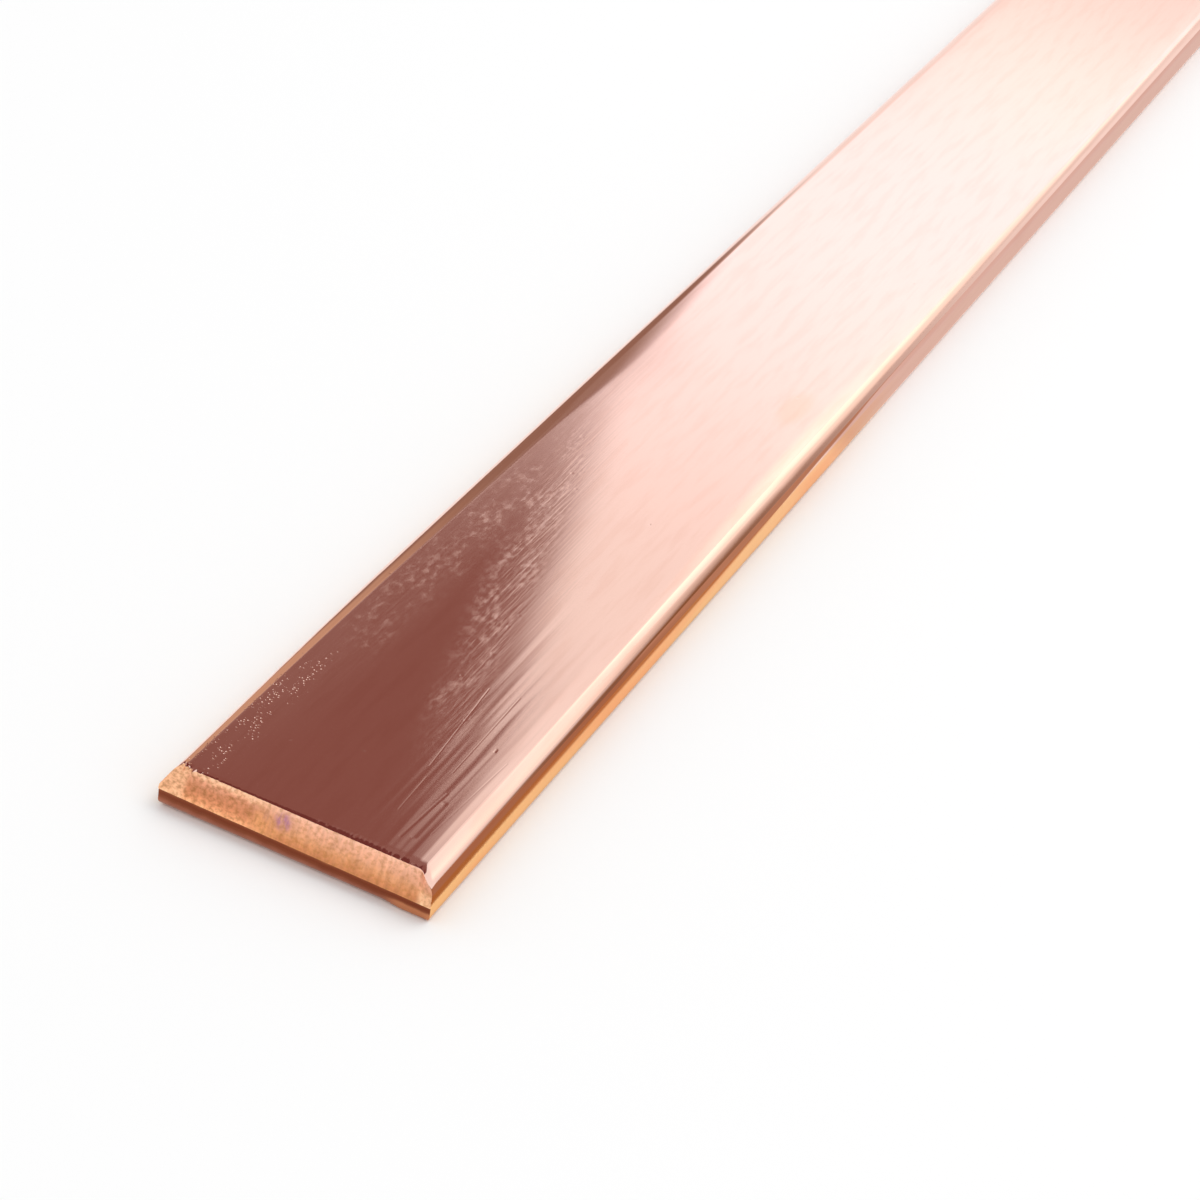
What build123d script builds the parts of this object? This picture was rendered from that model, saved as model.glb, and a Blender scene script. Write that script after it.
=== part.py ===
from build123d import *
import os

# A cut length of copper flat bar lying on its broad face.
#
# +X runs along the length, from the cropped end towards the sawn end, +Y across the width and +Z up.
# The origin is midway along the bar, on the floor. All sizes are in millimetres.

# Drawn section
WIDTH = 30.0
THICKNESS = 5.0
UPPER_EDGE_RADIUS = 1.8  # the two long edges that the die left well rounded
LOWER_EDGE_RADIUS = 0.6  # the two long edges beneath, only eased

# Stock length, from the foot of the cropped face to the sawn face
LENGTH = 500.0

# Cropped end. The blade shaves the lower part of the section smooth, then the rest tears away.
# The torn face leans outwards from the top face down to its foot, which overhangs the shaved lip.
TEAR_HEIGHT = 3.0  # measured down from the top face
TEAR_REACH = 1.3  # how far the foot stands out beyond the top edge
FOOT_OVERHANG = 0.15  # how far the lip sits back under the foot
GROOVE_RADIUS = 0.08  # inside corner where the lip starts under the foot
DRAW_DOWN_RADIUS = 0.9  # bottom edge of the lip, rounded as the blade pushed into it

# Sawn end, square and lightly deburred
DEBURR = 0.3

foot_x = -LENGTH / 2
foot_z = THICKNESS - TEAR_HEIGHT
lip_x = foot_x + FOOT_OVERHANG
top_edge_x = foot_x + TEAR_REACH

os.makedirs("parts", exist_ok=True)


with BuildPart() as flat_bar:
    # The section is one rectangle with two different corner radii, carried along the whole length
    with BuildSketch(Plane.YZ) as section:
        Rectangle(WIDTH, THICKNESS, align=(Align.CENTER, Align.MIN))
        fillet(section.vertices().group_by(Axis.Y)[-1], UPPER_EDGE_RADIUS)
        fillet(section.vertices().group_by(Axis.Y)[0], LOWER_EDGE_RADIUS)
    extrude(amount=LENGTH / 2, both=True)

    # What the shear took off: everything ahead of the torn face, its foot and the shaved lip.
    # Its outline runs under the bar, so that it also rounds the lip's bottom edge.
    with BuildSketch(Plane.XZ) as crop:
        with BuildLine() as crop_outline:
            Polyline(
                (top_edge_x, THICKNESS),
                (foot_x, foot_z),
                (lip_x, foot_z),
                (lip_x, 0),
                (top_edge_x, 0),
            )
            Polyline(
                (top_edge_x, 0),
                (top_edge_x, -THICKNESS),
                (foot_x - TEAR_REACH, -THICKNESS),
                (foot_x - TEAR_REACH, THICKNESS),
                (top_edge_x, THICKNESS),
            )
        make_face()
        fillet(crop.vertices().sort_by_distance((lip_x, foot_z))[0], GROOVE_RADIUS)
        fillet(crop.vertices().sort_by_distance((lip_x, 0))[0], DRAW_DOWN_RADIUS)
    extrude(amount=WIDTH / 2, both=True, mode=Mode.SUBTRACT)

    # The sawn face keeps its square shape, with the saw's burr taken off all round
    sawn_face = flat_bar.faces().sort_by(Axis.X)[-1]
    chamfer(sawn_face.edges(), DEBURR)

flat_bar.part.label = "flat_bar"
export_step(flat_bar.part, "parts/flat_bar.step")
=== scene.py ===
import math
from functools import partial

import bpy
from bpy.props import FloatProperty, FloatVectorProperty, PointerProperty, StringProperty
from mathutils import Matrix, Vector, noise


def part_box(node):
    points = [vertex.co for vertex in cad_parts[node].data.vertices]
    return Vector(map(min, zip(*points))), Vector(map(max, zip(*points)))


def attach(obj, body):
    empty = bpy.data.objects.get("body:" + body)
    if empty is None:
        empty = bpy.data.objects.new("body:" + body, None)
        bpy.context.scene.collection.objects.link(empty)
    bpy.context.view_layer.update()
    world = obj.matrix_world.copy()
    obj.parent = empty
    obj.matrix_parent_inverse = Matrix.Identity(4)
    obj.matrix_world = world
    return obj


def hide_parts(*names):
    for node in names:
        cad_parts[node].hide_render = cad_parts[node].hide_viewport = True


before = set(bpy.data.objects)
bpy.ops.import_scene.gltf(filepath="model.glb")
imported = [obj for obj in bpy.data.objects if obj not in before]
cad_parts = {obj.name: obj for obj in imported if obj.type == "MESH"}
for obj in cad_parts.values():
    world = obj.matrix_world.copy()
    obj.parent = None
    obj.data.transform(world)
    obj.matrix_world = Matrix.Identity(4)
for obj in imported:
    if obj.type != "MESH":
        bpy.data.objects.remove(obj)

bl_info = {
    "name": "Cropped copper flat bar",
    "version": (1, 0, 0),
    "blender": (4, 5, 0),
    "location": "View3D > Sidebar > Copper bar",
    "description": "Makes a length of drawn copper flat bar with its cropped and sawn ends",
    "category": "Object",
}

MM = 0.001
CAD_NODE = "flat_bar"
CAD_LOW, CAD_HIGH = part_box(CAD_NODE)
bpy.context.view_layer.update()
CROP_X, SAWN_X = CAD_LOW.x, CAD_HIGH.x  # the bar's near and far ends
WIDTH = CAD_HIGH.y - CAD_LOW.y
THICKNESS = CAD_HIGH.z - CAD_LOW.z

# Faces of the bar, in the order of its material slots
DRAWN, TORN, SHAVED, SAWN = range(4)

# How finely the skin is divided across the bar, and down its cropped face
ARC_COLUMNS = 16  # round each long upper edge
FLAT_COLUMNS = 210  # across the broad face
TORN_ROWS = 26  # down the torn face
LEDGE_ROWS = 4  # under its foot
LIP_ROWS = 10  # down the shaved lip

# And along it
BLEND_LENGTH = 6 * MM  # over which the cropped face's unevenness dies out
BLEND_SHARES = (0.008, 0.02, 0.035, 0.055, 0.08, 0.11, 0.15, 0.2, 0.27, 0.38, 0.52, 0.72, 1.0)
FINE_LENGTH = 110 * MM  # beyond the crop, with fine steps
FINE_STEP, COARSE_STEP = 2.5 * MM, 6 * MM
LAST_STEP = 8 * MM  # longest step, before the sawn end's bevel

# Kinds of shader node, each as its type and settings
ADD = ("ShaderNodeMath", {"operation": "ADD"})
SUBTRACT = ("ShaderNodeMath", {"operation": "SUBTRACT"})
MULTIPLY = ("ShaderNodeMath", {"operation": "MULTIPLY"})
MULTIPLY_ADD = ("ShaderNodeMath", {"operation": "MULTIPLY_ADD"})
DIVIDE = ("ShaderNodeMath", {"operation": "DIVIDE"})
MAXIMUM = ("ShaderNodeMath", {"operation": "MAXIMUM"})
CLAMPED = ("ShaderNodeMath", {"operation": "MULTIPLY", "use_clamp": True})
ABSOLUTE = ("ShaderNodeMath", {"operation": "ABSOLUTE"})
LESS_THAN = ("ShaderNodeMath", {"operation": "LESS_THAN"})
SMOOTH_RANGE = ("ShaderNodeMapRange", {"interpolation_type": "SMOOTHSTEP"})
TEXTURE_PLACE = ("ShaderNodeTexCoord", {})
AXES = ("ShaderNodeSeparateXYZ", {})
CHANNELS = ("ShaderNodeSeparateColor", {})
SCALE = ("ShaderNodeVectorMath", {"operation": "SCALE"})
STRETCH = ("ShaderNodeVectorMath", {"operation": "MULTIPLY_ADD"})
VECTOR_SUBTRACT = ("ShaderNodeVectorMath", {"operation": "SUBTRACT"})
DOT = ("ShaderNodeVectorMath", {"operation": "DOT_PRODUCT"})
DISTANCE = ("ShaderNodeVectorMath", {"operation": "DISTANCE"})
LENGTH_OF = ("ShaderNodeVectorMath", {"operation": "LENGTH"})
PLACE = ("ShaderNodeCombineXYZ", {})
NOISE = ("ShaderNodeTexNoise", {})
CELLS = ("ShaderNodeTexVoronoi", {"feature": "F1"})
COLOUR_RAMP = ("ShaderNodeValToRGB", {})
BLEND = ("ShaderNodeMix", {"data_type": "RGBA"})
BUMP = ("ShaderNodeBump", {})
DIFFUSE = ("ShaderNodeBsdfDiffuse", {})
EMISSION = ("ShaderNodeEmission", {})
CLEAR = ("ShaderNodeBsdfTransparent", {})
MIX_SHADER = ("ShaderNodeMixShader", {})
SURFACE_OUT = ("ShaderNodeOutputMaterial", {})
LIGHT_PATH = ("ShaderNodeLightPath", {})
BACKGROUND = ("ShaderNodeBackground", {})
WORLD_OUT = ("ShaderNodeOutputWorld", {})


def linear(hex_colour):
    """An sRGB hex colour, such as "FAD0C1", as the linear RGBA that shaders take."""
    channels = []
    for i in (0, 2, 4):
        c = int(hex_colour[i:i + 2], 16) / 255
        channels.append(c / 12.92 if c <= 0.04045 else ((c + 0.055) / 1.055) ** 2.4)
    return (*channels, 1.0)


def lerp(a, b, t):
    return a + (b - a) * t


def smoothstep(low, high, value):
    """0 at the low value and 1 at the high one, which may be the smaller number."""
    t = min(max((value - low) / (high - low), 0.0), 1.0)
    return t * t * (3 - 2 * t)


def fill(socket, value):
    """Sets an input, or links it to an output or to a node's first live output."""
    if isinstance(value, bpy.types.Node):
        value = next(output for output in value.outputs if output.enabled)
    if isinstance(value, bpy.types.NodeSocket):
        socket.id_data.links.new(value, socket)
    else:
        socket.default_value = value


def add_node(tree, kind, *values, **named):
    """Adds a node of a kind and fills its live inputs, in order or by label.

    A label has underscores for its spaces.
    """
    node = tree.nodes.new(kind[0])
    for setting, value in kind[1].items():
        setattr(node, setting, value)
    for socket, value in zip([s for s in node.inputs if s.enabled], values):
        fill(socket, value)
    for label, value in named.items():
        fill(node.inputs[label.replace("_", " ")], value)
    return node


def set_stops(ramp, stops):
    """Gives a colour ramp its stops, each as a position and an sRGB hex colour."""
    elements = ramp.color_ramp.elements
    while len(elements) < len(stops):
        elements.new(1.0)
    for element, (position, colour) in zip(elements, stops):
        element.position, element.color = position, linear(colour)


def add_object(name, data):
    """Adds an object to the scene for a mesh, a lamp or a camera."""
    thing = bpy.data.objects.new(name, data)
    bpy.context.scene.collection.objects.link(thing)
    return thing


# ----------------------------------------------------------------------
# Sizes and colours that a user would change
# ----------------------------------------------------------------------


class CroppedEndSizes(bpy.types.PropertyGroup):
    """Sizes of the bar's section and of its cropped end."""

    upper_radius: FloatProperty(
        name="Upper edge radius", description="Rounding of the two upper long edges",
        default=1.8 * MM, unit="LENGTH", precision=5)
    lower_radius: FloatProperty(
        name="Lower edge radius", description="Rounding of the two lower long edges",
        default=0.6 * MM, unit="LENGTH", precision=5)
    tear_height: FloatProperty(
        name="Tear height", description="Height of the torn face in the middle, from the top down",
        default=3.0 * MM, unit="LENGTH", precision=5)
    blade_rake: FloatProperty(
        name="Blade rake", description="How much lower the tear reaches at the right than left",
        default=0.36 * MM, unit="LENGTH", precision=5)
    tear_reach: FloatProperty(
        name="Tear reach", description="How far the torn face leans out at its foot",
        default=1.3 * MM, unit="LENGTH", precision=5)
    overhang: FloatProperty(
        name="Foot overhang", description="How far the shaved lip sits back under the foot",
        default=0.15 * MM, unit="LENGTH", precision=5)
    groove: FloatProperty(
        name="Groove height", description="Height of the hollow under the foot",
        default=0.08 * MM, unit="LENGTH", precision=5)
    draw_down: FloatProperty(
        name="Draw-down radius", description="Rounding of the lip's bottom edge",
        default=0.9 * MM, unit="LENGTH", precision=5)
    roll_over: FloatProperty(
        name="Roll-over", description="How far back the upper face dips along the torn edge",
        default=0.85 * MM, unit="LENGTH", precision=5)
    pinch: FloatProperty(
        name="Pinch", description="How far along the shear pinched the left edge",
        default=48 * MM, unit="LENGTH", precision=5)
    deburr: FloatProperty(
        name="Deburr", description="Bevel round the sawn face",
        default=0.3 * MM, unit="LENGTH", precision=5)


class CopperColours(bpy.types.PropertyGroup):
    """Colours of the copper's several finishes, as sRGB hex."""

    bright: StringProperty(
        name="Bright copper", description="Clean drawn face", default="FAD0C1")
    edge: StringProperty(
        name="Edge copper", description="Long edges, tarnished deeper", default="FFAC50")
    lip: StringProperty(
        name="Shaved lip", description="Bottom of the burnished lip", default="CF957D")


class StudioSettings(bpy.types.PropertyGroup):
    """Camera, floor and light."""

    camera_at: FloatVectorProperty(
        name="Camera place", description="Where the lens is", size=3,
        default=(-457.30 * MM, -104.03 * MM, 192.49 * MM), subtype="XYZ", unit="LENGTH")
    camera_aim: FloatVectorProperty(
        name="Camera aim", description="Point in the middle of the frame", size=3,
        default=(-191.69 * MM, -4.77 * MM, 0.03 * MM), subtype="XYZ", unit="LENGTH")
    camera_roll: FloatProperty(
        name="Camera roll", description="Turn about the line of sight",
        default=math.radians(9.67), subtype="ANGLE")
    camera_lens: FloatProperty(
        name="Lens", description="Focal length on a 36 mm frame", default=94.07)
    floor_size: FloatProperty(
        name="Floor size", description="Side of the pale floor", default=12.0, unit="LENGTH")


# ----------------------------------------------------------------------
# Shape. The bar lies along X with its cropped end at the low end. Seen from there, left is +Y.
# ----------------------------------------------------------------------


def section_columns(sizes):
    """Columns across the section from -Y to +Y: place across, top height and bottom height."""
    upper, lower = sizes.upper_radius, sizes.lower_radius
    side = []
    for i in range(ARC_COLUMNS + 1):
        turn = math.pi / 2 * i / ARC_COLUMNS
        inset = upper * (1 - math.cos(turn))
        top = THICKNESS - upper + upper * math.sin(turn)
        short = max(lower - inset, 0.0)
        bottom = lower - math.sqrt(lower ** 2 - short ** 2)
        side.append((WIDTH / 2 - inset, top, bottom))
    flat_half = WIDTH / 2 - upper
    middle = [
        (lerp(-flat_half, flat_half, i / FLAT_COLUMNS), THICKNESS, 0.0)
        for i in range(1, FLAT_COLUMNS)
    ]
    return [(-y, top, bottom) for y, top, bottom in side] + middle + side[::-1]


def cropped_rows():
    """Rows down the cropped face, each as its zone and how far down that zone it is."""
    torn = [("torn", i / TORN_ROWS) for i in range(TORN_ROWS + 1)]
    ledge = [("ledge", i / LEDGE_ROWS) for i in range(1, LEDGE_ROWS + 1)]
    lip = [("lip", math.sin(math.pi / 2 * i / LIP_ROWS)) for i in range(1, LIP_ROWS + 1)]
    return torn + ledge + lip


# Relief of the torn face, in millimetres: the size of its grains, striae and swells, then how
# deep they are, at the right and in the granular left part where the two differ
TORN_DROP = 3  # from its top to its foot
GRAIN_SIZE = 0.42
STRIA_WIDTH, STRIA_LENGTH = 0.28, 2.2
SWELL_WIDTH, SWELL_LENGTH = 3.5, 2.5
MEAN_DEPTH, SWELL_DEPTH = 0.04, 0.03
GRAIN_DEPTHS, STRIA_DEPTHS = (0.018, 0.04), (0.03, 0.0)


def tear_relief(y, down):
    """How far the torn face is pitted inwards, at a place across and a share of the way down."""
    across, along = y / MM, TORN_DROP * down
    granular = smoothstep(-2.0, 5.0, across)
    grain = Vector((across / GRAIN_SIZE, along / GRAIN_SIZE, 3.1))
    stria = Vector((across / STRIA_WIDTH, along / STRIA_LENGTH, 9.7))
    swell = Vector((across / SWELL_WIDTH, along / SWELL_LENGTH, 5.3))
    depth = MEAN_DEPTH + lerp(*GRAIN_DEPTHS, granular) * noise.fractal(grain, 0.8, 2.1, 4)
    depth += lerp(*STRIA_DEPTHS, granular) * noise.noise(stria)
    depth += SWELL_DEPTH * noise.noise(swell) * smoothstep(0.0, 0.2, down)
    # It dies out just above the foot, which stays a clean line
    return MM * max(depth, 0.0) * smoothstep(1.0, 0.93, down)


# Chips and burrs along the torn face's top edge: place across, half width, how far the edge
# moves back (chip) or out (burr, negative), and how deep the pocket behind it is (mm)
EDGE_CHIPS = (
    (13.5, 0.45, 0.55, 0.07),
    (12.85, 0.40, 0.25, 0.07),
    (12.4, 0.20, 0.12, 0.05),
    (11.95, 0.20, -0.34, 0.0),
    (11.3, 0.30, -0.08, 0.0),
    (9.4, 0.20, 0.06, 0.0),
)


def edge_chip(y, down):
    """How far chips and burrs move the torn face near its top edge, in metres."""
    moved = 0.0
    for place, half, depth, _ in EDGE_CHIPS:
        near = 1 - smoothstep(0.2, 1.0, abs(y / MM - place) / half)
        moved += depth * near * (1 - smoothstep(0.0, 1.2 * half + 0.3, TORN_DROP * down))
    return moved * MM


ROLL_OVER_SLOPE = 0.25  # of the upper face where it meets the torn face
ROLL_OVER_BEND = 1.4  # above 1, so that the dip fades out
POCKET_SHIFT = 0.15  # how far a chip's pocket lies to its left, and how much wider it is (mm)


def roll_over_dip(sizes, y, past):
    """How far the upper face dips at a distance past the torn edge, in metres.

    The dip is widest at the right, and steep pockets lie behind the chips.
    """
    length = sizes.roll_over * lerp(0.5, 1.0, smoothstep(8 * MM, -8 * MM, y))
    dip = 0.0
    if past < length:
        share = (1 - past / length) ** ROLL_OVER_BEND
        dip = ROLL_OVER_SLOPE * length / ROLL_OVER_BEND * share
    for place, half, _, pocket in EDGE_CHIPS:
        from_pocket = math.hypot(y / MM - place - POCKET_SHIFT, past / MM)
        dip += pocket * MM * (1 - smoothstep(0.0, 1.0, from_pocket / (half + POCKET_SHIFT)))
    return dip


def crown(y):
    """1 over the broad upper face, falling to 0 at the sides."""
    return smoothstep(0.0, 0.9 * MM, WIDTH / 2 - abs(y))


def foot_height(sizes, y):
    """Height of the torn face's foot, which falls from left to right with the blade's rake."""
    return THICKNESS - sizes.tear_height + sizes.blade_rake * y / WIDTH


def draw_down_at(sizes, y):
    """Radius of the lip's bottom edge, which is tighter at the right corner."""
    return sizes.draw_down * lerp(1.0, 0.5, smoothstep(-9.5 * MM, -12 * MM, y))


LEAN_BEND = 1.15  # above 1, so that the torn face steepens towards its foot
CORNER_WRAP = 0.93  # share of the lean that is gone at the right long edge


def tear_lean(sizes, y, z):
    """How far the torn face leans back from its foot, in metres.

    It steepens towards the foot, and wraps forward round the right long edge.
    """
    foot_z = foot_height(sizes, y)
    rise = max((z - foot_z) / (THICKNESS - foot_z), 0.0)
    wrap = smoothstep(-WIDTH / 2 + 2.3 * MM, -WIDTH / 2 + 0.4 * MM, y)
    return sizes.tear_reach * rise ** LEAN_BEND * (1 - CORNER_WRAP * wrap)


def cropped_point(sizes, row, column):
    """A point of the cropped face."""
    zone_name, t = row
    y, top, bottom = column
    foot_z = foot_height(sizes, y)
    if zone_name == "torn":
        z = lerp(top - roll_over_dip(sizes, y, 0.0) * crown(y), foot_z, t)
        relief = tear_relief(y, t) + edge_chip(y, t)
        return Vector((max(CROP_X + tear_lean(sizes, y, z) + relief, CROP_X), y, z))
    if zone_name == "ledge":
        turn = math.pi / 2 * t
        x = CROP_X + sizes.overhang * math.sin(turn)
        return Vector((x, y, foot_z - sizes.groove * (1 - math.cos(turn))))
    z = lerp(foot_z - sizes.groove, bottom, t)
    radius = draw_down_at(sizes, y)
    short = max(radius - z, 0.0)
    drawn = radius - math.sqrt(max(radius ** 2 - short ** 2, 0.0))
    return Vector((CROP_X + sizes.overhang + drawn, y, z))


LEFT_ROLL_OFF = 0.10 * MM  # fall of the upper face just before its left rounding
RIGHT_ROLL_OFF = 0.06 * MM  # and before its right one
WAVE_HEIGHT = 0.0009 * MM  # of the slow waves that drawing left in the upper face


def face_sag(x, y, sizes):
    """How far the broad upper face lies below its highest level, in metres.

    Further along, the left roll-off first grows broader and then fades.
    """
    flat_half = WIDTH / 2 - sizes.upper_radius
    past = x - CROP_X
    further = smoothstep(75 * MM, 105 * MM, past)
    start = flat_half - lerp(0.35 * MM, 1.0 * MM, smoothstep(30 * MM, 80 * MM, past))
    start -= 1.2 * MM * further
    end = flat_half + lerp(0.3 * MM, 0.8 * MM, further)
    left = smoothstep(0.0, 1.0, (max(y - start, 0.0) / (end - start)) ** 1.4)
    left *= lerp(1.0, 0.25, smoothstep(112 * MM, 150 * MM, past))
    right = smoothstep(flat_half - 1.9 * MM, flat_half + 1.4 * MM, -y)
    wave = noise.noise(Vector((x / (45 * MM), y / (7 * MM), 1.7)))
    wave += 0.5 * noise.noise(Vector((x / (16 * MM), y / (3.2 * MM), 6.1)))
    # With 1.5 added, the waves only ever lower the face
    return LEFT_ROLL_OFF * left + RIGHT_ROLL_OFF * right + WAVE_HEIGHT * (wave + 1.5)


def half_width_at(z, sizes):
    """Half the section's width at a height."""
    above = max(z - (THICKNESS - sizes.upper_radius), 0.0)
    arc = math.sqrt(max(sizes.upper_radius ** 2 - above ** 2, 0.0))
    return WIDTH / 2 - sizes.upper_radius + arc


CLAMP_HEIGHT = 2.2 * MM  # where the pressed flat starts on the left side
CLAMP_LEAN = 0.579  # how far it leans in for each step up, at about 60 degrees
CLAMP_CLEARANCE = 0.15 * MM  # how far outside the side its line starts there
CLAMP_RELEASE = 0.72 * MM  # and how far out it moves along the pinched length
CLAMP_DEPTH = 3 * MM  # how far in from the side the skin gives way


def pinch_in(point, sizes):
    """Moves a point in towards the flat that the shear's clamp pressed on the left edge.

    The flat dies out along the bar. Points further in move less, so that the skin stays evenly
    divided.
    """
    past = (point.x - CROP_X) / sizes.pinch
    relax = CLAMP_CLEARANCE + CLAMP_RELEASE * smoothstep(-0.3, 1.0, past)
    above = max(point.z - CLAMP_HEIGHT, 0.0)
    pressed = WIDTH / 2 + relax - CLAMP_LEAN * above
    half = half_width_at(point.z, sizes)
    still = WIDTH / 2 - CLAMP_DEPTH
    if point.y > still and half > pressed:
        point.y -= (half - pressed) * (point.y - still) / (half - still)


# Dents on the long edges: place along from the cropped end, place across, half length, depth (mm)
EDGE_DENTS = (
    (87.8, -13.9, 1.3, 0.07),
    (38.0, 13.9, 1.0, 0.04),
    (212.0, 14.0, 1.6, 0.05),
    (331.0, -13.9, 1.8, 0.06),
    (418.0, 14.1, 1.2, 0.05),
)
DENT_BREADTH = 0.6  # of a dent, as a share of its length
DENT_INWARDS, DENT_DOWN = 0.5, 0.86  # shares of its depth that way


def edge_dent(x, y, z):
    """How far a dent pushes a long edge in, in metres."""
    pushed = 0.0
    for along, across, half, depth in EDGE_DENTS:
        dx = ((x - CROP_X) / MM - along) / half
        dy = (y / MM - across) / (DENT_BREADTH * half)
        if abs(dx) < 2 and abs(dy) < 2 and z > 0.5 * THICKNESS:
            pushed += depth * math.exp(-2 * (dx * dx + dy * dy))
    return pushed * MM


SAW_PITCH = 0.35  # of the saw's marks, in millimetres
SAW_DEPTH = 0.010 * MM


def saw_relief(y, z):
    """Depth of the saw's slightly curved marks, in metres."""
    sweep = y / MM + 0.012 * (z / MM) ** 2
    mark = noise.noise(Vector((sweep / SAW_PITCH, z / (9 * MM), 2.2)))
    return SAW_DEPTH * (1 + mark)


def plain_stations(sizes):
    """Places of the stations beyond those blended out of the cropped face."""
    stations = []
    x = CROP_X + BLEND_LENGTH
    bevel_x = SAWN_X - sizes.deburr
    while x < bevel_x - LAST_STEP:
        x += FINE_STEP if x < CROP_X + FINE_LENGTH else COARSE_STEP
        stations.append(x)
    return [*stations, bevel_x]


def section_outline(last_row, last_column):
    """The section's outline, anticlockwise from the upper right seen from the cropped end.

    Each place on it is a row and a column of the cropped face's grid.
    """
    outline = [(0, j) for j in range(last_column + 1)]
    outline += [(i, last_column) for i in range(1, last_row)]
    outline += [(last_row, j) for j in range(last_column, -1, -1)]
    outline += [(i, 0) for i in range(last_row - 1, 0, -1)]
    return outline


def work_body(sizes, vertices, rings, outline, columns):
    """Dips the upper face at the tear, sags it by microns, and dents and pinches the long edges."""
    for number, ring in enumerate(rings):
        for (i, j), index in zip(outline, ring):
            point = vertices[index]
            if i == 0 and number:
                past = point.x - vertices[j].x
                dip = roll_over_dip(sizes, point.y, past) + face_sag(point.x, point.y, sizes)
                point.z = columns[j][1] - dip * crown(point.y)
            push = edge_dent(point.x, point.y, point.z)
            if push:
                inward = -math.copysign(DENT_INWARDS, point.y)
                vertices[index] = point + Vector((0, inward, -DENT_DOWN)) * push
    for point in vertices:
        if point.x < CROP_X + sizes.pinch:
            pinch_in(point, sizes)


def build_skin(sizes):
    """Vertices, faces and material slots of the whole bar as one closed skin."""
    columns = section_columns(sizes)
    rows = cropped_rows()
    last_row, last_column = len(rows) - 1, len(columns) - 1
    width = len(columns)
    vertices, faces, slots = [], [], []

    def add_face(corners, slot):
        faces.append(corners)
        slots.append(slot)

    def settled_height(i, column):
        """Height in a row and column once the side's rows are evenly spaced."""
        return lerp(column[1], column[2], i / last_row)

    # Cropped face
    for row in rows:
        for column in columns:
            vertices.append(cropped_point(sizes, row, column))
    for i in range(last_row):
        slot = TORN if i < TORN_ROWS else SHAVED
        for j in range(last_column):
            a = i * width + j
            add_face((a, a + 1, a + width + 1, a + width), slot)

    # Body, one ring of vertices for each station
    outline = section_outline(last_row, last_column)
    rings = [[i * width + j for i, j in outline]]

    def add_ring(points):
        rings.append(range(len(vertices), len(vertices) + len(points)))
        vertices.extend(points)

    for share in BLEND_SHARES:
        points = []
        for i, j in outline:
            near = vertices[i * width + j]
            x = lerp(near.x, CROP_X + BLEND_LENGTH, share)
            z = lerp(near.z, settled_height(i, columns[j]), smoothstep(0.0, 1.0, share))
            points.append(Vector((x, near.y, z)))
        add_ring(points)
    for x in plain_stations(sizes):
        add_ring([
            Vector((x, columns[j][0], settled_height(i, columns[j]))) for i, j in outline])
    work_body(sizes, vertices, rings, outline, columns)

    # Sawn face, which is smaller all round by its deburred bevel
    start = len(vertices)
    rings.append([start + i * width + j for i, j in outline])
    middle_z = THICKNESS / 2
    shrink_y = 1 - sizes.deburr / (WIDTH / 2)
    shrink_z = 1 - sizes.deburr / middle_z
    for i in range(last_row + 1):
        for column in columns:
            y = column[0] * shrink_y
            z = middle_z + (settled_height(i, column) - middle_z) * shrink_z
            vertices.append(Vector((SAWN_X - saw_relief(y, z), y, z)))

    for near, far in zip(rings, rings[1:]):
        slot = SAWN if far is rings[-1] else DRAWN
        for k in range(len(outline)):
            m = (k + 1) % len(outline)
            add_face((near[m], near[k], far[k], far[m]), slot)
    for i in range(last_row):
        for j in range(last_column):
            a = start + i * width + j
            add_face((a + 1, a, a + width, a + width + 1), SAWN)
    return vertices, faces, slots


def mark_sharp_edges(mesh):
    """Makes edges between two finishes crisp, and the sawn face's bevel too."""
    beside = {}
    for polygon in mesh.polygons:
        for key in polygon.edge_keys:
            beside.setdefault(key, []).append(polygon)
    for edge in mesh.edges:
        pair = beside[edge.key]
        first, second = pair[0], pair[-1]
        bend = first.normal.angle(second.normal, 0.0)
        bevelled = first.material_index == SAWN and bend > math.radians(25)
        edge.use_edge_sharp = first.material_index != second.material_index or bevelled


def make_bar(sizes, materials):
    """Makes the bar's skin and hands it to the CAD body."""
    vertices, faces, slots = build_skin(sizes)
    mesh = bpy.data.meshes.new("copper_bar")
    mesh.from_pydata([tuple(v) for v in vertices], [], faces)
    for material in materials:
        mesh.materials.append(material)
    mesh.polygons.foreach_set("material_index", slots)
    mesh.polygons.foreach_set("use_smooth", [True] * len(faces))
    mark_sharp_edges(mesh)
    mesh.update()
    bar = add_object("copper_bar", mesh)
    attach(bar, "root")
    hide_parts(CAD_NODE)


# ----------------------------------------------------------------------
# Finishes. Sizes and places in them are in millimetres.
# ----------------------------------------------------------------------


def new_metal(name):
    """A metallic material: itself, its tree and shader, and object coordinates in millimetres."""
    material = bpy.data.materials.new(name)
    material.use_nodes = True
    tree = material.node_tree
    shader = tree.nodes["Principled BSDF"]
    shader.inputs["Metallic"].default_value = 1.0
    place = add_node(tree, TEXTURE_PLACE).outputs["Object"]
    return material, tree, shader, add_node(tree, SCALE, place, 1 / MM)


def drawn_out_noise(tree, mm, lengths, seed=(0.0, 0.0, 0.0), **settings):
    """Noise whose size along each axis is given in millimetres."""
    place = add_node(tree, STRETCH, mm, [1 / length for length in lengths], seed)
    return add_node(tree, NOISE, place, Scale=1.0, **settings)


def swing(tree, texture, reach, base=0.0):
    """A base plus a texture's swing about its middle, which is as wide as the reach."""
    return add_node(tree, MULTIPLY_ADD, add_node(tree, SUBTRACT, texture, 0.5), reach, base)


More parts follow.
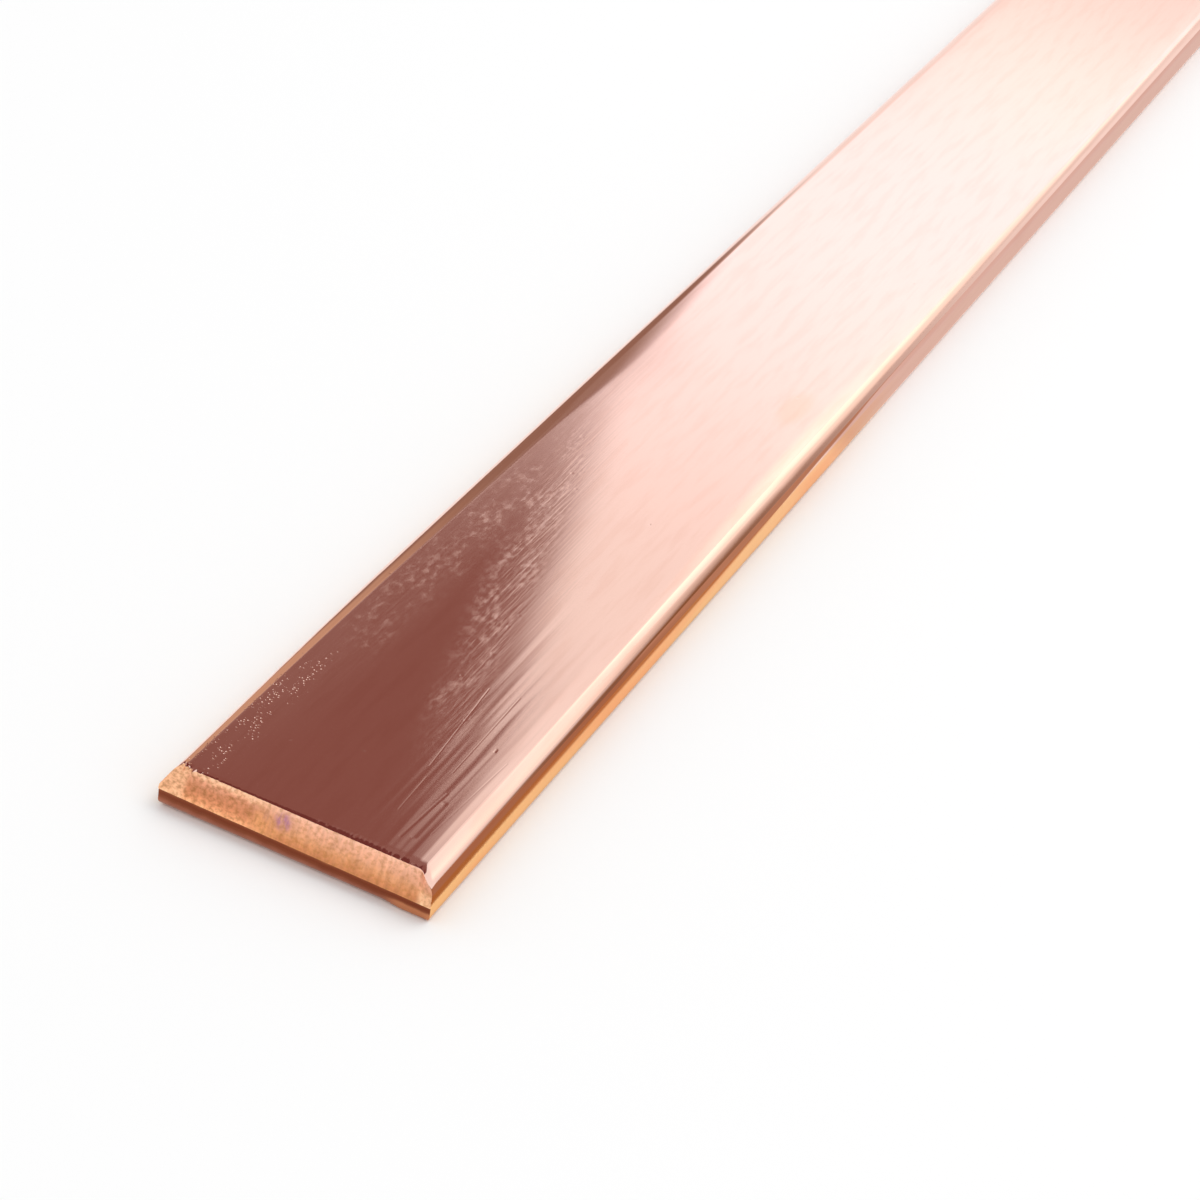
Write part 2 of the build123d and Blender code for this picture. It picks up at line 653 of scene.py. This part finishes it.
def spatter(tree, mm, cell, radius, share):
    """1 in the middle of round spots and 0 between them.

    Each cell of the given size has a spot of the given radius, by the given chance.
    """
    cells = add_node(tree, CELLS, mm, Scale=1 / cell)
    chance = add_node(tree, CHANNELS, cells.outputs["Color"])
    chosen = add_node(tree, LESS_THAN, chance, share)
    spot = add_node(tree, SMOOTH_RANGE, cells, radius / cell, 0.0)
    return add_node(tree, MULTIPLY, spot, chosen)


def zone(tree, *limits):
    """Product of smooth ramps, each given as a value and where it reads 0 and 1."""
    product = 1.0
    for value, outside, inside in limits:
        ramp = add_node(tree, SMOOTH_RANGE, value, outside, inside)
        product = add_node(tree, MULTIPLY, ramp, product)
    return product


def roughen(tree, shader, relief, step):
    """Bumps a surface by a relief, whose step from 0 to 1 is given in metres."""
    fill(shader.inputs["Normal"], add_node(tree, BUMP, Height=relief, Strength=1.0, Distance=step))


def foot_level(tree, across, sizes):
    """Height of the torn face's foot at a place across, in millimetres."""
    middle_foot = (THICKNESS - sizes.tear_height) / MM
    return add_node(tree, MULTIPLY_ADD, across, sizes.blade_rake / WIDTH, middle_foot)


# Wear and painted shade on the drawn faces, as sRGB hex
PALE_TARNISH = "FFC06A"
DULL_CLOUDS = "D98E6E"
# Painted shade at the foot of the sides, for the floor's contact shadow that they mirror
FOOT_SHADE = "C07C3A"
STAIN = "E8B48C"

STAIN_PLACE, STAIN_REACH = (102, -8.8), (5, 2)  # on the upper face, along from the crop and across
BAND_AT_CROP, BAND_SLANT = -9.2, 0.235  # the rubbed band's place across, and its drift along

# Scratches and nicks on the upper face: start and end, each as a distance from the crop and a
# place across, then half width and depth
SCRATCHES = (
    ((15.4, -6.2), (30.2, -5.1), 0.13, 0.0012),
    ((7.7, -7.0), (13.7, -6.8), 0.13, 0.0012),
    ((15.7, -8.6), (30.6, -8.4), 0.12, 0.0009),
    ((5.0, -10.2), (11.0, -10.2), 0.50, 0.0040),
    ((11.0, -10.2), (21.2, -10.4), 0.40, 0.0018),
    ((6.2, -11.4), (20.2, -12.3), 0.14, 0.0009),
    ((4.3, -9.1), (12.5, -9.7), 0.25, 0.0018),
    ((21.2, -10.4), (21.6, -10.4), 0.22, 0.0030),
    ((1.6, -2.6), (1.7, -2.6), 0.20, 0.0090),
    ((1.7, -5.6), (1.9, -5.7), 0.25, 0.0100),
    ((17.0, -13.83), (50.0, -14.15), 0.05, 0.0030),
    ((35.0, -13.90), (60.0, -14.10), 0.05, 0.0030),
)


def scratched(tree, mm, relief):
    """A relief with the scratches and nicks cut into it."""
    node = partial(add_node, tree)
    for (x1, y1), (x2, y2), half_width, depth in SCRATCHES:
        run = Vector((x2 - x1, y2 - y1, 0.0))
        start = (CROP_X / MM + x1, y1, THICKNESS / MM)
        from_start = node(VECTOR_SUBTRACT, mm, start)
        share = node(CLAMPED, node(DOT, from_start, run / run.length_squared), 1.0)
        distance = node(DISTANCE, from_start, node(SCALE, run, share))
        groove = node(SMOOTH_RANGE, distance, half_width, 0.0, 0.0, -depth)
        relief = node(ADD, groove, relief)
    return relief


def drawn_copper(colours):
    """Bright drawn copper flat bar.

    A carbide die burnishes the faces to a near mirror, and leaves faint lines along the length.
    Handling scuffs it, and the long edges tarnish to a deeper orange. The eye sees a pink-gold
    mirror whose reflections break up into long streaks, with orange edges.
    """
    material, tree, shader, mm = new_metal("drawn_copper_bright")
    node = partial(add_node, tree)
    along, across, height = node(AXES, mm).outputs
    from_crop = node(SUBTRACT, along, CROP_X / MM)
    side = node(ABSOLUTE, across)
    top = zone(tree, (height, 3.0, 4.0))

    # Tarnish: the sides are deeper orange, most of all near the cropped end
    tarnish = zone(tree, (side, 13.9, 14.6), (height, 3.5, 3.0))
    tarnish = node(MULTIPLY, tarnish, node(SMOOTH_RANGE, from_crop, 95.0, 125.0, 1.0, 0.15))
    drift = drawn_out_noise(tree, mm, (28.0, 5.0, 3.0), (1.2, 0.0, 4.0), Detail=2.0)
    drift = node(SMOOTH_RANGE, drift, 0.38, 0.62)
    tarnished = node(BLEND, drift, linear(colours.edge), linear(PALE_TARNISH))
    clouds = drawn_out_noise(tree, mm, (9.0, 1.2, 1.0), Detail=3.0)
    cloudy = node(SMOOTH_RANGE, clouds, 0.42, 0.70, 0.0, 0.10)
    base = node(BLEND, cloudy, linear(colours.bright), linear(DULL_CLOUDS))
    base = node(BLEND, tarnish, base, tarnished)

    # Painted shade along the foot of the sides, where they mirror the floor's contact shadow, and a
    # stain on the upper face
    foot_shade = zone(tree, (side, 13.5, 14.2), (height, 1.1, 0.3), (from_crop, 120.0, 95.0))
    base = node(BLEND, node(MULTIPLY, foot_shade, 0.4), base, linear(FOOT_SHADE))
    (stain_x, stain_y), (reach_x, reach_y) = STAIN_PLACE, STAIN_REACH
    from_stain = node(
        STRETCH, mm, (1 / reach_x, 1 / reach_y, 0),
        (-(CROP_X / MM + stain_x) / reach_x, -stain_y / reach_y, 0))
    stain = node(SMOOTH_RANGE, node(LENGTH_OF, from_stain), 1.2, 0.4, 0.0, 0.25)
    base = node(BLEND, node(MULTIPLY, stain, top), base, linear(STAIN))
    fill(shader.inputs["Base Color"], base)

    # Where it is rubbed: a slanting band, and a patch by the left edge
    line = node(ADD, across, node(MULTIPLY_ADD, from_crop, -BAND_SLANT, -BAND_AT_CROP))
    rubbed = zone(
        tree, (line, -4.0, -1.0), (line, 4.5, 0.5), (from_crop, 14.0, 26.0),
        (from_crop, 92.0, 66.0))
    corner_rub = zone(
        tree, (across, 5.5, 8.5), (across, 13.2, 12.0), (from_crop, 18.0, 34.0),
        (from_crop, 84.0, 58.0))
    rubbed = node(MULTIPLY, node(MAXIMUM, rubbed, corner_rub), top)

    # Polish: a near mirror, hazed in patches where it is rubbed
    patches = drawn_out_noise(tree, mm, (6.0, 2.5, 2.0), (3.0, 7.0, 0.0), Detail=3.0)
    patches = node(MULTIPLY, node(SMOOTH_RANGE, patches, 0.36, 0.60), rubbed)
    mottle = drawn_out_noise(tree, mm, (1.1, 0.6, 0.6), (6.0, 2.0, 1.0), Detail=3.0)
    haze = node(MULTIPLY, node(SMOOTH_RANGE, mottle, 0.40, 0.75), patches)
    polish = node(MULTIPLY_ADD, rubbed, 0.02, 0.06)
    fill(shader.inputs["Roughness"], node(MULTIPLY_ADD, haze, 0.12, polish))

    # Relief: soft streaks to the right near the crop, fine lines from the die, and scuffs, small
    # lumps and dimples where it is rubbed
    streaky = zone(
        tree, (across, -3.5, -6.5), (across, -13.0, -12.2), (from_crop, 62.0, 14.0))
    streaks = drawn_out_noise(tree, mm, (26.0, 1.5, 1.1), Detail=1.0, Roughness=0.4)
    relief = swing(tree, streaks, node(MULTIPLY_ADD, streaky, 0.020, 0.0008))
    lines = drawn_out_noise(tree, mm, (12.0, 0.22, 0.22), (1.0, 5.0, 2.0), Detail=1.0)
    relief = swing(tree, lines, 0.0004, relief)
    scuffs = drawn_out_noise(tree, mm, (5.0, 0.35, 0.35), (4.0, 1.0, 2.0), Detail=3.0)
    relief = swing(tree, scuffs, node(MULTIPLY, rubbed, 0.0042), relief)
    relief = swing(tree, mottle, node(MULTIPLY, patches, 0.0034), relief)
    dimples = spatter(tree, mm, cell=1.3, radius=0.32, share=0.3)
    relief = node(MULTIPLY_ADD, dimples, node(MULTIPLY, rubbed, -0.003), relief)

    # Pits: a dense spatter in clumps by the left corner, and sparse ones all over
    corner = zone(tree, (across, 9.0, 11.0), (across, 13.4, 13.0), (from_crop, 30.0, 16.0))
    clumps = drawn_out_noise(tree, mm, (3.0, 1.4, 1.0), (8.0, 2.0, 0.0), Detail=2.0)
    clumps = node(SMOOTH_RANGE, clumps, 0.40, 0.60)
    pits = spatter(tree, mm, cell=0.32, radius=0.13, share=node(MULTIPLY, corner, clumps))
    relief = node(MULTIPLY_ADD, pits, node(MULTIPLY_ADD, clumps, -0.014, -0.003), relief)
    pits = spatter(tree, mm, cell=2.6, radius=0.22, share=0.12)
    relief = scratched(tree, mm, node(MULTIPLY_ADD, pits, -0.006, relief))

    # The sides and the underside are smoother
    relief = node(MULTIPLY, relief, node(MULTIPLY_ADD, top, 0.8, 0.2))
    roughen(tree, shader, relief, MM)
    return material


# Colours down the torn face, each with its share of the height up from the foot. They hold
# painted light: lighter at the top edge as a painted highlight, darker lower down as painted
# shade, and at the left a painted highlight along the foot
TORN_LEFT_SHADED = (
    (0.0, "FFB483"), (0.08, "F6AB7C"), (0.22, "DF9469"), (0.4, "D18962"), (0.6, "D08B66"),
    (0.75, "E4A07E"), (0.85, "F6BA93"), (1.0, "FECBA7"))
TORN_RIGHT_SHADED = (
    (0.05, "D1895D"), (0.22, "DC9668"), (0.4, "E6A479"), (0.6, "EDAD8A"), (0.85, "F7BA9B"),
    (1.0, "FFC9AB"))
TORN_ENDS = "FFC79C"
# Painted shade for the grains' hollows
HOLLOW_SHADE = "C08448"
# Heat tints on it: place across, share of the height, reach across, reach in height, colour
HEAT_TINTS = (
    (3.4, 0.28, 2.0, 0.45, "E6A06E"),
    (1.6, 0.62, 1.1, 0.32, "B07690"),
)


def torn_copper(sizes):
    """Torn copper, where the shear broke the last of the section away.

    Bare metal, granular at the left and drawn into upright striae at the right. Light bounces
    between the grains, which deepens its colour to tan and orange, with a violet spot where the
    tear ran hot. Its colour also holds painted light: painted highlights along the top edge, along
    the foot at the left and on the burr at the right of the foot, and painted shade lower down and
    in the grains' hollows.
    """
    material, tree, shader, mm = new_metal("torn_copper_granular")
    node = partial(add_node, tree)
    _, across, height = node(AXES, mm).outputs
    foot = foot_level(tree, across, sizes)
    share = node(DIVIDE, node(SUBTRACT, height, foot), node(SUBTRACT, THICKNESS / MM, foot))

    mottle = drawn_out_noise(tree, mm, (0.8, 0.8, 0.8), Detail=3.0)
    wandering = swing(tree, mottle, 0.35, share)
    left, right = node(COLOUR_RAMP, wandering), node(COLOUR_RAMP, wandering)
    set_stops(left, TORN_LEFT_SHADED)
    set_stops(right, TORN_RIGHT_SHADED)
    base = node(BLEND, node(SMOOTH_RANGE, across, 5.5, 1.5), left, right)

    striae = drawn_out_noise(tree, mm, (1.0, 0.5, 2.6), (0.0, 3.0, 0.0), Detail=4.0)
    spot = node(PLACE, 0.0, across, share)
    for y, up, half_y, half_up, colour in HEAT_TINTS:
        from_spot = node(
            STRETCH, spot, (0.0, 1 / half_y, 1 / half_up), (0.0, -y / half_y, -up / half_up))
        near = node(SMOOTH_RANGE, node(LENGTH_OF, from_spot), 1.2, 0.3)
        streaked = node(MULTIPLY, near, node(SMOOTH_RANGE, striae, 0.3, 0.6))
        base = node(BLEND, streaked, base, linear(colour))

    # Both ends are paler, the right one only near the foot, where it is a painted highlight on the
    # burr
    pale = node(MULTIPLY, node(SMOOTH_RANGE, across, 11.9, 12.8), 0.7)
    burr = zone(tree, (across, -13.2, -14.0), (share, 0.55, 0.35))
    base = node(BLEND, node(MAXIMUM, pale, burr), base, linear(TORN_ENDS))

    # Painted shade: the grains' hollows are painted a darker golden brown, and striae and grains
    # lighten and darken the colour as painted light and shade
    grains = drawn_out_noise(tree, mm, (0.35, 0.45, 0.35), (5.0, 0.0, 1.0), Detail=4.0)
    hollow_shade = node(SMOOTH_RANGE, grains, 0.56, 0.34, 0.0, 0.36)
    base = node(BLEND, hollow_shade, base, linear(HOLLOW_SHADE))
    striated = node(SMOOTH_RANGE, across, 8.0, 3.0)
    granular = node(SMOOTH_RANGE, across, 3.0, 8.0, 0.3, 1.2)
    shade = swing(tree, striae, node(MULTIPLY, striated, 0.7))
    shade = swing(tree, grains, granular, shade)
    base = node(SCALE, base, node(ADD, shade, 1.0))
    fill(shader.inputs["Base Color"], base)
    shader.inputs["Roughness"].default_value = 0.42
    roughen(tree, shader, node(MULTIPLY_ADD, grains, 0.04, node(MULTIPLY, mottle, 0.06)), MM)
    return material


# Painted reflection of the brighter floor, on the lower half of the lip's right end
LIP_FLOOR_REFLECTION = "D58E62"


def shaved_copper(colours, sizes):
    """Shaved copper, the smooth lip that the blade cut before the rest tore.

    Burnished by the blade. Its colour is painted light: a thin painted highlight under the foot,
    then a band of painted shade under the foot's overhang that lightens to reddish copper at the
    bottom edge, a painted reflection of the floor there.
    """
    material, tree, shader, mm = new_metal("shaved_copper_burnished")
    node = partial(add_node, tree)
    _, across, height = node(AXES, mm).outputs
    wander = drawn_out_noise(tree, mm, (2.5, 2.5, 2.5), Detail=3.0)
    level = swing(tree, wander, 0.3, node(DIVIDE, height, foot_level(tree, across, sizes)))
    # Painted light down the lip: lighter towards the bottom edge as a painted reflection of the
    # floor, darkest in painted shade under the foot's overhang, and a painted highlight right under
    # the foot
    tone = node(COLOUR_RAMP, level)
    set_stops(tone, (
        (0.15, colours.lip), (0.35, "B8745A"), (0.55, "8E4F36"), (0.72, "81412B"),
        (0.88, "8A4A30"), (1.0, "B8784C")))
    # At the right end only its lower half lightens, to orange, as a painted reflection of the
    # brighter floor there
    right_end_reflection = zone(tree, (across, -9.5, -12.0), (level, 0.62, 0.42))
    lip_with_reflection = node(BLEND, node(MULTIPLY, right_end_reflection, 0.8), tone, linear(LIP_FLOOR_REFLECTION))
    fill(shader.inputs["Base Color"], lip_with_reflection)
    shader.inputs["Roughness"].default_value = 0.22
    lines = drawn_out_noise(tree, mm, (1.0, 0.125, 1.7), Detail=3.0)
    roughen(tree, shader, lines, 0.01 * MM)
    return material


SAW_MARKS = "E8A484"
SAWN_FACE = "F9CBB2"


def sawn_copper():
    """Sawn copper, the far end, cut square on a bandsaw and lightly filed.

    Fine upright saw marks scatter the light into a soft, bright pink-orange.
    """
    material, tree, shader, mm = new_metal("sawn_copper_filed")
    marks = drawn_out_noise(tree, mm, (1.0, 0.2, 2.9), Detail=4.0)
    tone = add_node(tree, BLEND, marks, linear(SAW_MARKS), linear(SAWN_FACE))
    fill(shader.inputs["Base Color"], tone)
    shader.inputs["Roughness"].default_value = 0.32
    roughen(tree, shader, marks, 0.02 * MM)
    return material


# ----------------------------------------------------------------------
# Stage
# ----------------------------------------------------------------------

FLOOR_COLOUR = "FAFAFA"
FLOOR_DROP = 0.02 * MM  # below the bar's underside
SHEET_DROP, SHEET_STEP = 0.015, 0.001  # of the first reflected sheet there, and rise of the next ones (mm)

LAMP_AT = (0.3, -0.6, 1.6)
LAMP_SIZE, LAMP_POWER = (1.2, 1.2), 9.0
MATT_SURROUND = 0.82  # strength of the surround on matt surfaces, where white is 1

# Cards that stand round the bar and are seen only in its reflections. Each has a name, a distance
# from the eye in metres, a colour, a strength, an opacity and its corners. A corner has an azimuth,
# an elevation and the soft width of the edge that follows it, all in degrees.
CARDS = (
    # A brown card high on the left, whose near edge draws the slanting line where the face turns
    # from dark to bright. A pale one lifts it a little, and a veil dims the face near the crop.
    ("brown_card_high", 3.0, "885E58", 1.0, 1.0, (
        (40, 60, 0), (75, 60, 0), (75, 26.5, 7), (20, 26.5, 1.4), (20.95, 34.8, 1.2))),
    ("pale_card", 2.7, "FFFFFF", 1.0, 0.06, (
        (28.3, 39, 3), (70, 39, 0), (70, 25, 0), (15, 25, 1.2))),
    ("brown_veil", 3.03, "885E58", 1.0, 0.95, (
        (75, 60, 0), (75, 33.3, 7), (19.5, 33.3, 3), (19.5, 60, 0))),
    # A darker card above them shades the roll-over, and two below shade the left long edge
    ("brown_card_top", 2.9, "6E3D3B", 1.0, 1.0, (
        (33, 52, 2.0), (75, 52, 0), (75, 70, 0), (40, 70, 0.5))),
    ("brown_card_low", 3.1, "96786A", 1.0, 1.0, (
        (18.6, 29.9, 1.2), (80, 29.9, 0), (80, -1, 0), (33.2, -1, 4))),
    ("brown_card_left", 2.8, "CBAC93", 1.0, 1.0, (
        (25, 32, 2), (80, 32, 0), (80, -1, 0), (46, -1, 5))),
    # A softbox beyond the far end, its brighter middle, and a lower one that carries it on to
    # the left
    ("softbox", 4.6, "FFFEF9", 1.5, 1.0, (
        (18.5, 47, 6.5), (18.5, 20.2, 5.3), (-44, 16, 12), (-44, 40, 14))),
    ("softbox_hot", 4.4, "FFFCF2", 1.68, 1.0, (
        (17.5, 42, 3.5), (17.5, 29.5, 2.5), (-14, 27, 10), (-14, 38, 6))),
    ("softbox_low", 4.7, "F3F5FF", 1.5, 1.0, (
        (27, 33.9, 6), (27, 20.4, 5.3), (-10, 19, 5), (-10, 31.3, 8))),
    # A dark card low on the right, for the line along the right long edge, and a half-clear one
    # above it that eases the bright face into that line
    ("dark_card_low", 2.9, "8A6444", 1.0, 1.0, (
        (-43, -9, 2.5), (-41, 13, 8), (-31.5, 26, 3), (-10, 41, 12), (-27, -14, 0))),
    ("dark_card_high", 2.95, "8A6444", 1.0, 0.46, (
        (-46, 17, 14.5), (-29, 42.5, 16), (25.5, 37.5, 18), (-15, 11, 12))),
)

# Sheets on the floor along the bar's right side, which glow and are seen only in reflections: a
# painted reflection, so that the side mirrors a darker floor than the pale one the lens sees. Each
# has a name, a colour and its corners, and lies on the one before it. A corner has a distance
# along from the crop, one out from the bar and the soft width of the edge that follows it, all in
# millimetres.
FLOOR_SHEETS_IN_REFLECTION = (
    ("pale_reflected_sheet", "E0CDC8", (
        (101, 0.3, 0), (3000, 0.3, 0), (3000, 3000, 0), (101, 3000, 9))),
    ("brown_reflected_sheet", "B98F74", (
        (-8, 0.9, 0.3), (75, 1.1, 0.4), (90, 1.35, 0.6), (98, 2.0, 1.5), (110, 4.2, 2),
        (121, 6.6, 3), (153, 23.5, 0), (3000, 1600, 0), (900, 3000, 0), (-8, 1200, 0))),
    ("crop_reflected_sheet", "AA7A5C", (
        (-8, 0.7, 0.3), (75, 2.0, 30), (75, 3000, 0), (-8, 1200, 0))),
    ("dark_reflected_sheet", "8C6B56", (
        (30, 12, 2), (60, 11, 4), (2200, 1700, 0), (1700, 1600, 8))),
)


def bare_material(name):
    """A material and its tree, which has no nodes yet."""
    material = bpy.data.materials.new(name)
    material.use_nodes = True
    material.node_tree.nodes.clear()
    return material, material.node_tree


def make_floor(size):
    """A plain pale floor just under the bar."""
    half = size / 2
    mesh = bpy.data.meshes.new("pale_floor")
    corners = [(-half, -half, 0), (half, -half, 0), (half, half, 0), (-half, half, 0)]
    mesh.from_pydata(corners, [], [(0, 1, 2, 3)])
    floor = add_object("pale_floor", mesh)
    floor.location.z = -FLOOR_DROP
    material, tree = bare_material("pale_matt_floor")
    add_node(tree, SURFACE_OUT, add_node(tree, DIFFUSE, linear(FLOOR_COLOUR)))
    mesh.materials.append(material)


def direction(azimuth, elevation):
    """A direction from its azimuth, turned from +X towards +Y, and its elevation, in degrees."""
    a, e = math.radians(azimuth), math.radians(elevation)
    return Vector((math.cos(e) * math.cos(a), math.cos(e) * math.sin(a), math.sin(e)))


def add_card(name, colour, strength, opacity, corners, soft):
    """A flat card with three or more corners, seen only in reflections.

    Each edge, from a corner to the next, fades out over its own soft width.
    """
    origin = sum(corners, Vector()) / len(corners)
    across = (corners[1] - corners[0]).normalized()
    normal = across.cross(corners[2] - corners[0]).normalized()
    turn = Matrix((across, normal.cross(across), normal)).transposed()
    local = [turn.transposed() @ (corner - origin) for corner in corners]
    mesh = bpy.data.meshes.new(name)
    mesh.from_pydata([(v.x, v.y, 0) for v in local], [], [tuple(range(len(local)))])
    card = add_object(name, mesh)
    card.matrix_world = Matrix.Translation(origin) @ turn.to_4x4()

    material, tree = bare_material(name)
    node = partial(add_node, tree)
    place = node(TEXTURE_PLACE).outputs["Object"]
    mask = opacity
    for i, width in enumerate(soft):
        if not width:
            continue
        start, end = local[i], local[(i + 1) % len(local)]
        along = (end - start).normalized()
        inward = Vector((-along.y, along.x, 0))
        if inward.dot(start) > 0:
            inward.negate()
        edge = start.dot(inward)
        fade = node(SMOOTH_RANGE, node(DOT, place, inward), edge, edge + width)
        mask = node(MULTIPLY, fade, mask)
    light = node(EMISSION, linear(colour), strength)
    node(SURFACE_OUT, node(MIX_SHADER, mask, node(CLEAR), light))
    mesh.materials.append(material)
    for ray in ("camera", "diffuse", "transmission", "volume_scatter", "shadow"):
        setattr(card, f"visible_{ray}", False)


def hang_card(eye, name, distance, colour, strength, opacity, corners):
    """Hangs a card in the sight of an eye."""
    sights = [direction(azimuth, elevation) for azimuth, elevation, _ in corners]
    middle = sum(sights, Vector()).normalized()
    places = [eye + sight * (distance / sight.dot(middle)) for sight in sights]
    soft = [math.radians(width) * distance for _, _, width in corners]
    add_card(name, colour, strength, opacity, places, soft)


def lay_reflected_sheet(layer, name, colour, corners):
    """Lays a reflected-only sheet by the bar's right side, in a layer counted from the floor up."""
    z = (SHEET_STEP * layer - SHEET_DROP) * MM
    places = [Vector((CROP_X + x * MM, -WIDTH / 2 - y * MM, z)) for x, y, _ in corners]
    add_card(name, colour, 1.0, 1.0, places, [width * MM for _, _, width in corners])


def light_world():
    """Even white surround, a little darker on matt surfaces, to leave the lamp room."""
    world = bpy.data.worlds.new("white_surround")
    bpy.context.scene.world = world
    world.use_nodes = True
    tree = world.node_tree
    tree.nodes.clear()
    ray = add_node(tree, LIGHT_PATH).outputs
    seen = add_node(tree, MAXIMUM, ray["Is Camera Ray"], ray["Is Glossy Ray"])
    seen = add_node(tree, MAXIMUM, seen, ray["Is Transmission Ray"])
    strength = add_node(tree, SMOOTH_RANGE, seen, 0.0, 1.0, MATT_SURROUND, 1.0)
    add_node(tree, WORLD_OUT, add_node(tree, BACKGROUND, (1, 1, 1, 1), strength))


def make_lamp():
    """A soft lamp above the right side, aimed at the cropped end."""
    data = bpy.data.lights.new("soft_lamp", "AREA")
    data.shape = "RECTANGLE"
    data.size, data.size_y = LAMP_SIZE
    data.energy = LAMP_POWER
    lamp = add_object("soft_lamp", data)
    lamp.location = LAMP_AT
    lamp.rotation_mode = "QUATERNION"
    to_crop = Vector((CROP_X, 0, 0)) - Vector(LAMP_AT)
    lamp.rotation_quaternion = to_crop.to_track_quat("-Z", "Y")
    lamp.visible_glossy = False


def make_camera(studio):
    data = bpy.data.cameras.new("camera")
    data.lens = studio.camera_lens
    data.sensor_width = 36.0
    data.clip_start, data.clip_end = 0.01, 50.0
    camera = add_object("camera", data)
    at, aim = Vector(studio.camera_at), Vector(studio.camera_aim)
    camera.location = at
    level = (aim - at).to_track_quat("-Z", "Y").to_matrix()
    camera.rotation_mode = "QUATERNION"
    camera.rotation_quaternion = (
        level @ Matrix.Rotation(studio.camera_roll, 3, "Z")
    ).to_quaternion()
    bpy.context.scene.camera = camera


# ----------------------------------------------------------------------
# Operators and panel
# ----------------------------------------------------------------------


class COPPERBAR_OT_bar(bpy.types.Operator):
    """Make the bar with its drawn faces, cropped end and sawn end"""

    bl_idname = "copperbar.bar"
    bl_label = "Copper bar"

    def execute(self, context):
        colours = context.scene.copper_colours
        sizes = context.scene.cropped_end
        make_bar(sizes, [
            drawn_copper(colours), torn_copper(sizes), shaved_copper(colours, sizes),
            sawn_copper()])
        return {"FINISHED"}


class COPPERBAR_OT_stage(bpy.types.Operator):
    """Make the pale floor, the soft light, the reflection cards and the camera"""

    bl_idname = "copperbar.stage"
    bl_label = "Stage"

    def execute(self, context):
        studio = context.scene.studio
        make_camera(studio)
        make_floor(studio.floor_size)
        light_world()
        make_lamp()

        # The broad face mirrors what the lens would see from below the floor
        lens = Vector(studio.camera_at)
        eye = Vector((lens.x, lens.y, 2 * THICKNESS - lens.z))
        for card in CARDS:
            hang_card(eye, *card)
        for layer, sheet in enumerate(FLOOR_SHEETS_IN_REFLECTION):
            lay_reflected_sheet(layer, *sheet)
        context.scene.view_settings.view_transform = "Standard"
        return {"FINISHED"}


class COPPERBAR_PT_panel(bpy.types.Panel):
    """Sizes, colours and the operators that build the bar and its stage"""

    bl_label = "Copper bar"
    bl_idname = "COPPERBAR_PT_panel"
    bl_space_type = "VIEW_3D"
    bl_region_type = "UI"
    bl_category = "Copper bar"

    def draw(self, context):
        scene = context.scene
        layout = self.layout
        for group in (scene.cropped_end, scene.copper_colours, scene.studio):
            box = layout.box()
            for name in group.bl_rna.properties.keys():
                if name not in ("rna_type", "name"):
                    box.prop(group, name)
        layout.operator(COPPERBAR_OT_bar.bl_idname)
        layout.operator(COPPERBAR_OT_stage.bl_idname)


CLASSES = (
    CroppedEndSizes,
    CopperColours,
    StudioSettings,
    COPPERBAR_OT_bar,
    COPPERBAR_OT_stage,
    COPPERBAR_PT_panel,
)


def register():
    for cls in CLASSES:
        bpy.utils.register_class(cls)
    bpy.types.Scene.cropped_end = PointerProperty(type=CroppedEndSizes)
    bpy.types.Scene.copper_colours = PointerProperty(type=CopperColours)
    bpy.types.Scene.studio = PointerProperty(type=StudioSettings)


def unregister():
    del bpy.types.Scene.studio
    del bpy.types.Scene.copper_colours
    del bpy.types.Scene.cropped_end
    for cls in reversed(CLASSES):
        bpy.utils.unregister_class(cls)


def main():
    register()
    bpy.ops.copperbar.bar()
    bpy.ops.copperbar.stage()


if __name__ == "__main__":
    main()
